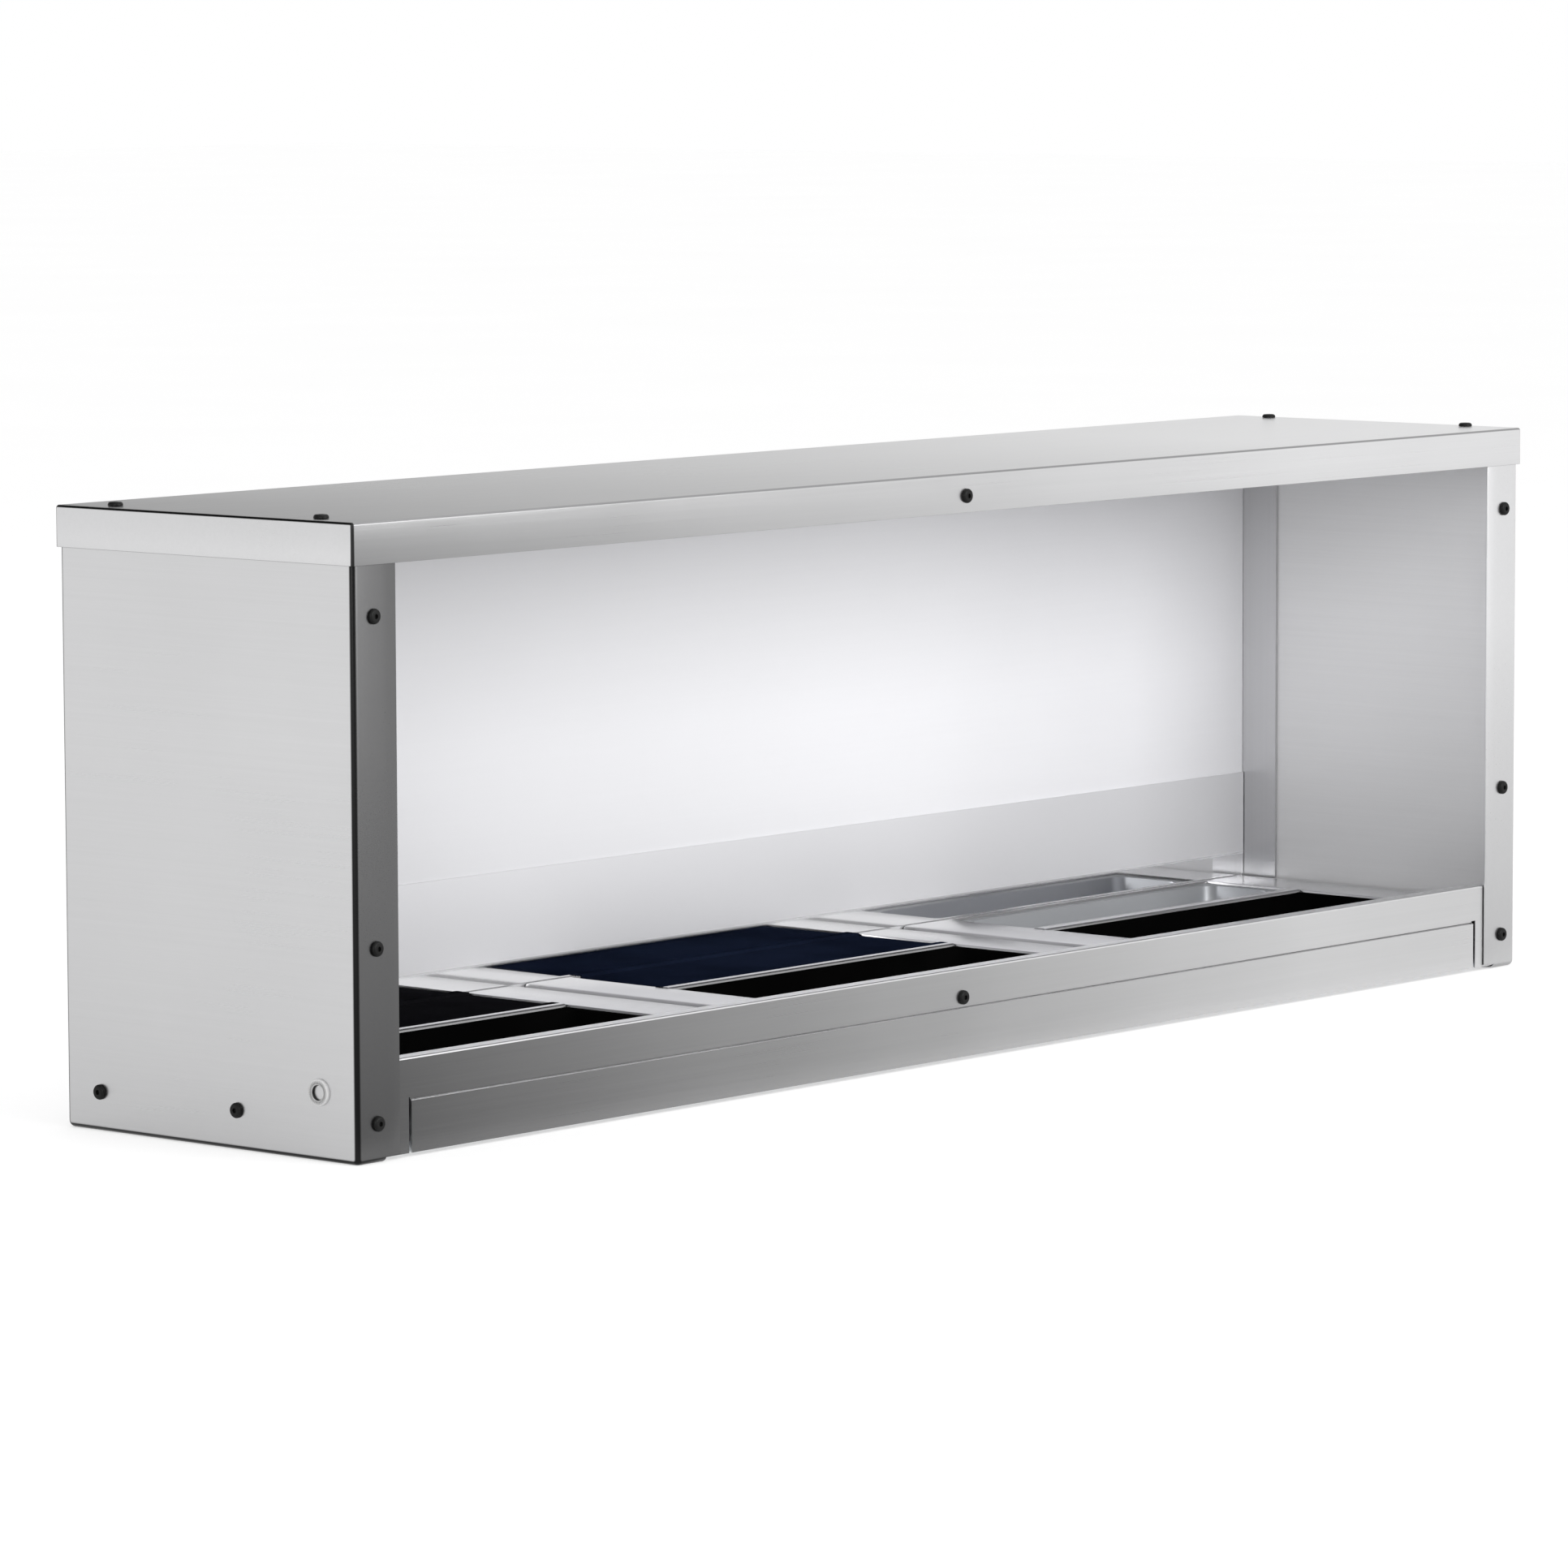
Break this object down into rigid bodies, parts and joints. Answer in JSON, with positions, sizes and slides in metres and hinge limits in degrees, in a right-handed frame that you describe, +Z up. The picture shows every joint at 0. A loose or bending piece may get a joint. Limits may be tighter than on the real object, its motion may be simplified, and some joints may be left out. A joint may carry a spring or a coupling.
{
  "type": "hot towel cabinet",
  "caption": "Long, low stainless steel cabinet with an open front and a recessed deck of drop-in trays, warming plates and a water pan.",
  "frame": {"origin": "bottom centre, on the surface the cabinet stands on", "axes": "+X along the length to the right as seen from the open front, +Y to the back, +Z up"},
  "size_m": [1.2024, 0.2567, 0.3897],
  "materials": {
    "satin_steel": "satin stainless sheet",
    "polished_steel": "polished stainless sheet",
    "galvanised_steel": "plain galvanised sheet",
    "black_screw": "black zinc plating",
    "black_enamel": "black enamel",
    "navy_enamel": "blue-black enamel",
    "heater_rubber": "silicone rubber",
    "black_plastic": "moulded",
    "white_plastic": "moulded"
  },
  "bodies": {
    "cabinet": {"back_panel": "polished_steel", "base_pan": "galvanised_steel", "cable_entry_bush": "black_plastic", "end_screw_left_front": "black_screw", "end_screw_left_rear": "black_screw", "end_screw_right_front": "black_screw", "end_screw_right_rear": "black_screw", "front_deck_bearer": "galvanised_steel", "front_header": "galvanised_steel", "front_left_upright": "galvanised_steel", "front_rail": "satin_steel", "front_right_upright": "galvanised_steel", "front_skirt": "satin_steel", "header_screw": "black_screw", "left_bay_frame": "satin_steel", "left_divider_bar": "satin_steel", "left_end_panel": "satin_steel", "left_heater_bridge": "galvanised_steel", "left_heater_mat": "heater_rubber", "left_seam_bearer": "galvanised_steel", "left_thermal_cutout": "black_plastic", "middle_bay_frame": "satin_steel", "middle_divider_bar": "satin_steel", "middle_heater_bridge": "galvanised_steel", "middle_heater_mat": "heater_rubber", "middle_thermal_cutout": "black_plastic", "post_screw_left_lower": "black_screw", "post_screw_left_middle": "black_screw", "post_screw_left_upper": "black_screw", "post_screw_right_lower": "black_screw", "post_screw_right_middle": "black_screw", "post_screw_right_upper": "black_screw", "rail_screw": "black_screw", "rear_deck_bearer": "galvanised_steel", "rear_header": "galvanised_steel", "rear_left_upright": "galvanised_steel", "rear_right_upright": "galvanised_steel", "rear_splash_strip": "polished_steel", "right_bay_frame": "satin_steel", "right_divider_bar": "satin_steel", "right_end_panel": "satin_steel", "right_seam_bearer": "galvanised_steel", "terminal_block": "white_plastic", "top_cover": "satin_steel", "top_cross_rib": "galvanised_steel", "top_screw_left_front": "black_screw", "top_screw_left_rear": "black_screw", "top_screw_right_front": "black_screw", "top_screw_right_rear": "black_screw"},
    "left_tray": {"left_drip_tray": "black_enamel"},
    "middle_tray": {"middle_drip_tray": "black_enamel"},
    "right_tray": {"right_drip_tray": "black_enamel"},
    "left_plate": {"left_warming_plate": "black_enamel"},
    "middle_plate": {"middle_warming_plate": "navy_enamel"},
    "pan": {"water_pan": "polished_steel"}
  },
  "joints": [
    {"name": "left_tray_lift", "type": "slide", "parent": "cabinet", "child": "left_tray", "axis": [0, 0, 1], "range_m": [0, 0.12]},
    {"name": "middle_tray_lift", "type": "slide", "parent": "cabinet", "child": "middle_tray", "axis": [0, 0, 1], "range_m": [0, 0.12]},
    {"name": "right_tray_lift", "type": "slide", "parent": "cabinet", "child": "right_tray", "axis": [0, 0, 1], "range_m": [0, 0.12]},
    {"name": "left_plate_lift", "type": "slide", "parent": "cabinet", "child": "left_plate", "axis": [0, 0, 1], "range_m": [0, 0.12]},
    {"name": "middle_plate_lift", "type": "slide", "parent": "cabinet", "child": "middle_plate", "axis": [0, 0, 1], "range_m": [0, 0.12]},
    {"name": "pan_lift", "type": "slide", "parent": "cabinet", "child": "pan", "axis": [0, 0, 1], "range_m": [0, 0.12]}
  ]
}
